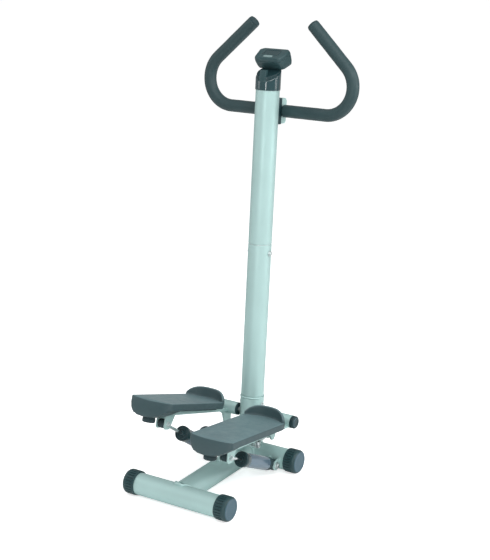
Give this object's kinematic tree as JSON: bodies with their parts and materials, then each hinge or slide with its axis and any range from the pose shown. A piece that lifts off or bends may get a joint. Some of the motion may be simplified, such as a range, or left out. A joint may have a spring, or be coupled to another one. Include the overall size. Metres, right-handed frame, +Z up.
{
  "type": "stepper",
  "caption": "Mini stepper with two opposed treadles, hydraulic dampers, an H-shaped tube base and a tall leaning column with a curved handlebar and step counter.",
  "frame": {"origin": "on the floor, below the middle of the whole machine", "axes": "+X to the user's right, +Y the way the user faces, +Z up"},
  "size_m": [0.481, 0.5621, 1.2189],
  "materials": {
    "frame_paint": "satin silver-grey paint",
    "zinc": "zinc plated",
    "chrome_rod": "polished",
    "damper_paint": "semi-gloss blue-grey paint",
    "black_plastic": "moulded, matte",
    "gloss_black": "glossy",
    "pedal_plastic": "moulded, fine texture",
    "counter_plastic": "moulded",
    "foam": "closed-cell foam, matte",
    "rubber": "matte",
    "clear": "clear",
    "lcd": "display",
    "board": "solder mask",
    "battery": "foil wrap"
  },
  "bodies": {
    "frame": {"rear_stabilizer_tube": "frame_paint", "front_stabilizer_tube": "frame_paint", "main_beam": "frame_paint", "rear_end_caps": "black_plastic", "front_end_caps": "black_plastic", "damper_brackets": "frame_paint", "damper_foot_bolts": "zinc", "column_stub": "frame_paint", "column_lower_tube": "frame_paint", "column_upper_tube": "frame_paint", "column_sleeves": "zinc", "column_joint_bolts": "zinc", "column_cap": "gloss_black", "handlebar_tube": "zinc", "grip_right": "foam", "grip_left": "foam", "bar_end_plugs": "black_plastic", "handlebar_saddle": "black_plastic", "handlebar_clamp": "frame_paint", "handlebar_bolts": "zinc", "counter_upper_housing": "counter_plastic", "counter_lower_housing": "counter_plastic", "counter_window": "clear", "counter_display": "lcd", "counter_board": "board", "counter_battery": "battery", "battery_door": "counter_plastic", "counter_neck": "counter_plastic", "pivot_axle": "zinc", "axle_end_nuts": "black_plastic", "equaliser_bracket": "frame_paint", "equaliser_bolt": "zinc"},
    "counter_button": {"counter_button": "counter_plastic"},
    "equaliser_bar": {"equaliser_bar": "zinc"},
    "treadle_left": {"hub_tube_left": "frame_paint", "hub_bushes_left": "black_plastic", "pedal_arm_left": "frame_paint", "pedal_left": "pedal_plastic", "bumper_left": "rubber", "pedal_screws_left": "zinc", "damper_eye_bolt_left": "zinc"},
    "damper_left": {"damper_cylinder_left": "damper_paint", "damper_head_left": "black_plastic"},
    "piston_rod_left": {"damper_rod_left": "chrome_rod", "damper_eye_bush_left": "rubber"},
    "link_left": {"link_rod_left": "zinc"},
    "treadle_right": {"hub_tube_right": "frame_paint", "hub_bushes_right": "black_plastic", "pedal_arm_right": "frame_paint", "pedal_right": "pedal_plastic", "bumper_right": "rubber", "pedal_screws_right": "zinc", "damper_eye_bolt_right": "zinc"},
    "damper_right": {"damper_cylinder_right": "damper_paint", "damper_head_right": "black_plastic"},
    "piston_rod_right": {"damper_rod_right": "chrome_rod", "damper_eye_bush_right": "rubber"},
    "link_right": {"link_rod_right": "zinc"}
  },
  "joints": [
    {"name": "treadle_left", "type": "hinge", "parent": "frame", "child": "treadle_left", "pos_m": [0, 0.0979, 0.148], "axis": [-1, 0, 0], "range_deg": [-17, 7]},
    {"name": "treadle_right", "type": "hinge", "parent": "frame", "child": "treadle_right", "pos_m": [0, 0.0979, 0.148], "axis": [-1, 0, 0], "range_deg": [-7, 17]},
    {"name": "damper_left", "type": "hinge", "parent": "frame", "child": "damper_left", "pos_m": [-0.101, 0.0504, 0.03], "axis": [-1, 0, 0], "range_deg": [-16.12, 6.81]},
    {"name": "rod_left", "type": "slide", "parent": "damper_left", "child": "piston_rod_left", "axis": [0, -0.8216, 0.5701], "range_m": [-0.03767, 0.0158]},
    {"name": "link_left", "type": "hinge", "parent": "treadle_left", "child": "link_left", "pos_m": [-0.0587, 0.09272, 0.08822], "axis": [-1, 0, 0], "range_deg": [-7.3, 17.3]},
    {"name": "damper_right", "type": "hinge", "parent": "frame", "child": "damper_right", "pos_m": [0.101, 0.0504, 0.03], "axis": [-1, 0, 0], "range_deg": [-6.81, 16.12]},
    {"name": "rod_right", "type": "slide", "parent": "damper_right", "child": "piston_rod_right", "axis": [0, -0.9022, 0.4312], "range_m": [-0.0158, 0.03767]},
    {"name": "link_right", "type": "hinge", "parent": "treadle_right", "child": "link_right", "pos_m": [0.0587, 0.10308, 0.08822], "axis": [-1, 0, 0], "range_deg": [-17.3, 7.3]},
    {"name": "equaliser", "type": "hinge", "parent": "frame", "child": "equaliser_bar", "pos_m": [0, 0.0359, 0.079], "axis": [0, 0, 1], "range_deg": [-17.3, 7.3]},
    {"name": "counter_button_press", "type": "slide", "parent": "frame", "child": "counter_button", "axis": [0, 0.342, -0.9397], "range_m": [0, 0.001], "stiffness_N_per_m": 400}
  ],
  "couplings": [
    {"joint": "treadle_right", "follows": "treadle_left", "ratio": -1},
    {"joint": "damper_left", "follows": "treadle_left", "ratio": 0.9307},
    {"joint": "rod_left", "follows": "treadle_left", "m_per_rad": 0.12527},
    {"joint": "link_left", "follows": "treadle_left", "ratio": -1},
    {"joint": "damper_right", "follows": "treadle_left", "ratio": -0.9307},
    {"joint": "rod_right", "follows": "treadle_left", "m_per_rad": -0.12527},
    {"joint": "link_right", "follows": "treadle_left", "ratio": 1},
    {"joint": "equaliser", "follows": "treadle_left", "ratio": 1}
  ]
}
